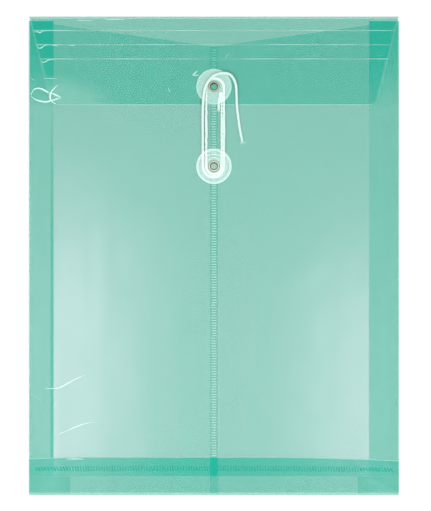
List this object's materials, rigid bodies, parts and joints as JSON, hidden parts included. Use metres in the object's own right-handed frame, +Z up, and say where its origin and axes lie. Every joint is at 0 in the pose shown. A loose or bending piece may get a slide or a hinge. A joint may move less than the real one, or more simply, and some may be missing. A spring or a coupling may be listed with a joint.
{
  "type": "string tie envelope",
  "caption": "Flat upright document envelope of translucent film with side gussets, a scored fold-over flap and a cord wound round two riveted washers.",
  "frame": {"origin": "under the middle of the back panel, on the surface that the envelope lies on", "axes": "+X across the envelope to the right of its front, +Y from the bottom band to the flap's fold, +Z up out of the front"},
  "size_m": [0.24, 0.31, 0.0089],
  "materials": {
    "film": "translucent green polypropylene film, glossy",
    "washer": "translucent natural white plastic, moulded",
    "eyelet": "pressed brass, lightly plated",
    "string": "twisted white cotton cord"
  },
  "bodies": {
    "back": {"back_panel": "film", "top_fold": "film"},
    "front": {"left_corner_fold": "film", "right_corner_fold": "film", "front_left_panel": "film", "front_right_panel": "film", "bottom_band": "film", "lower_eyelet": "eyelet"},
    "left_pleat_back": {"left_gusset_back_half": "film"},
    "left_pleat_front": {"left_gusset_front_half": "film"},
    "right_pleat_back": {"right_gusset_back_half": "film"},
    "right_pleat_front": {"right_gusset_front_half": "film"},
    "flap_upper": {"flap_upper_strip": "film"},
    "flap_middle": {"flap_middle_strip": "film"},
    "flap_lower": {"flap_lower_strip": "film"},
    "flap_end": {"flap_tongue": "film", "upper_eyelet": "eyelet", "string_winding": "string", "string_free_end": "string", "string_knot_tail": "string"},
    "upper_button": {"upper_washer": "washer"},
    "lower_button": {"lower_washer": "washer"}
  },
  "joints": [
    {"name": "pocket_expand", "type": "slide", "parent": "back", "child": "front", "axis": [0, 0, 1], "range_m": [0, 0.02]},
    {"name": "left_edge_fold", "type": "hinge", "parent": "back", "child": "left_pleat_back", "pos_m": [-0.12, 0, 0.00035], "axis": [0, -1, 0], "range_deg": [0, 40]},
    {"name": "left_crease_fold", "type": "hinge", "parent": "left_pleat_back", "child": "left_pleat_front", "pos_m": [-0.104, 0, 0.00085], "axis": [0, 1, 0], "range_deg": [0, 80]},
    {"name": "right_edge_fold", "type": "hinge", "parent": "back", "child": "right_pleat_back", "pos_m": [0.12, 0, 0.00035], "axis": [0, 1, 0], "range_deg": [0, 33]},
    {"name": "right_crease_fold", "type": "hinge", "parent": "right_pleat_back", "child": "right_pleat_front", "pos_m": [0.1005, 0, 0.00085], "axis": [0, -1, 0], "range_deg": [0, 66]},
    {"name": "flap_fold", "type": "hinge", "parent": "front", "child": "flap_upper", "pos_m": [0, 0.155, 0.0014], "axis": [-1, 0, 0], "range_deg": [0, 180]},
    {"name": "upper_score", "type": "hinge", "parent": "flap_upper", "child": "flap_middle", "pos_m": [0, 0.1458, 0.0028], "axis": [-1, 0, 0], "range_deg": [0, 60]},
    {"name": "middle_score", "type": "hinge", "parent": "flap_middle", "child": "flap_lower", "pos_m": [0, 0.1366, 0.0028], "axis": [-1, 0, 0], "range_deg": [0, 60]},
    {"name": "lower_score", "type": "hinge", "parent": "flap_lower", "child": "flap_end", "pos_m": [0, 0.1274, 0.0028], "axis": [-1, 0, 0], "range_deg": [0, 60]},
    {"name": "upper_washer_spin", "type": "hinge", "parent": "flap_end", "child": "upper_button", "pos_m": [0, 0.109, 0.0028], "axis": [0, 0, 1], "continuous": true},
    {"name": "lower_washer_spin", "type": "hinge", "parent": "front", "child": "lower_button", "pos_m": [0, 0.0578, 0.0019], "axis": [0, 0, 1], "continuous": true}
  ],
  "couplings": [
    {"joint": "left_edge_fold", "follows": "pocket_expand", "rad_per_m": 32.5},
    {"joint": "left_crease_fold", "follows": "pocket_expand", "rad_per_m": 65},
    {"joint": "right_edge_fold", "follows": "pocket_expand", "rad_per_m": 26.6},
    {"joint": "right_crease_fold", "follows": "pocket_expand", "rad_per_m": 53.2}
  ]
}
